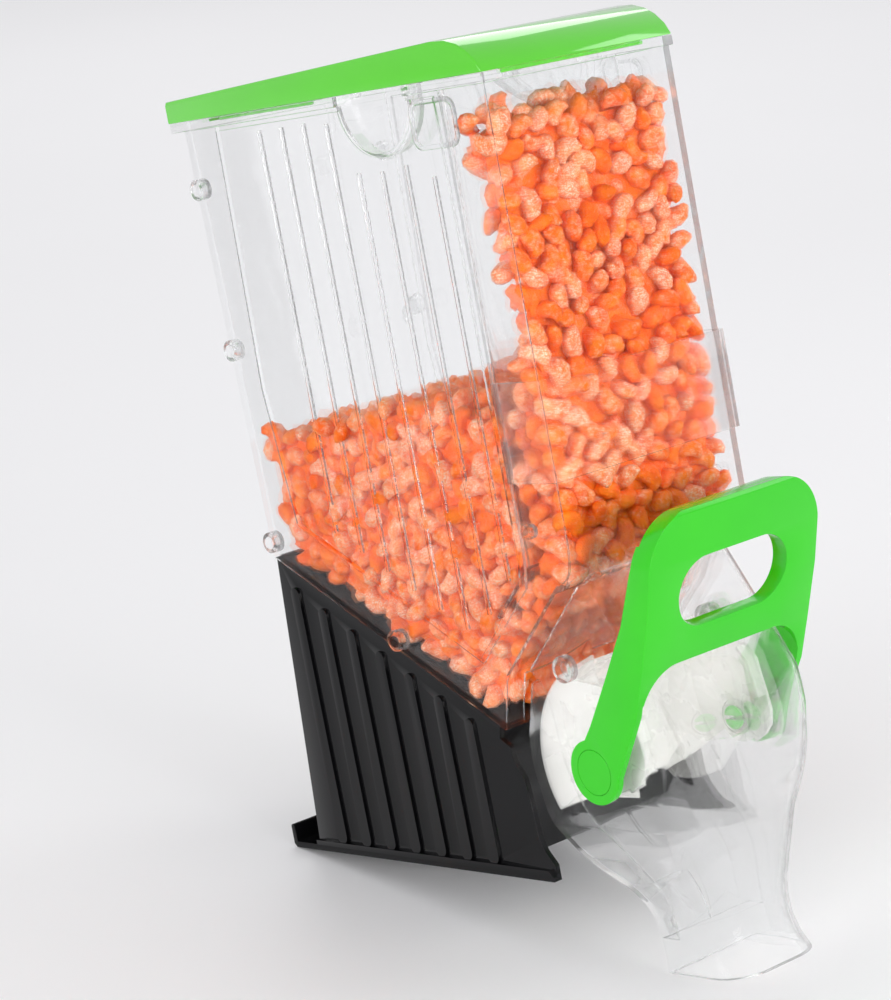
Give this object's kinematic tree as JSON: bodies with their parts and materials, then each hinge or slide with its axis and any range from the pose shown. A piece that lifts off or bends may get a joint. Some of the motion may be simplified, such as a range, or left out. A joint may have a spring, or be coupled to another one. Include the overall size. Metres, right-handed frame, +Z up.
{
  "type": "bulk candy dispenser",
  "caption": "Clear gravity bin on a wedge stand, with a front display column, lift-off lid, pull handle turning a portion gate, and a spout.",
  "frame": {"origin": "centre of the stand's flat resting face", "axes": "+Z up from the resting face, -Y towards the front where the spout and handle are, +X to the right as seen from the front"},
  "size_m": [0.167, 0.4055, 0.5858],
  "materials": {
    "clear": "clear moulded, polished",
    "green": "smooth gloss",
    "black": "smooth gloss",
    "milky": "translucent, satin",
    "candy": "sugared gummy pieces"
  },
  "bodies": {
    "dispenser": {"base_stand": "black", "bin_body": "clear", "side_studs": "clear", "column_studs": "clear", "divider": "clear", "divider_catches": "clear", "label_holder": "clear", "chute_back": "clear", "chute_hood": "clear", "hood_bosses": "clear", "hood_fixing_pin": "green", "candy_front": "candy", "candy_hopper": "candy"},
    "handle_gate": {"handle": "green", "gate": "milky", "pivot_pin_left": "green", "pivot_pin_right": "green", "bushing_left": "clear", "bushing_right": "clear"},
    "lid": {"lid": "green"}
  },
  "joints": [
    {"name": "handle_pull", "type": "hinge", "parent": "dispenser", "child": "handle_gate", "pos_m": [0, -0.171, 0.0725], "axis": [1, 0, 0], "range_deg": [0, 72]},
    {"name": "lid_lift", "type": "slide", "parent": "dispenser", "child": "lid", "axis": [0, 0, 1], "range_m": [0, 0.08]}
  ]
}
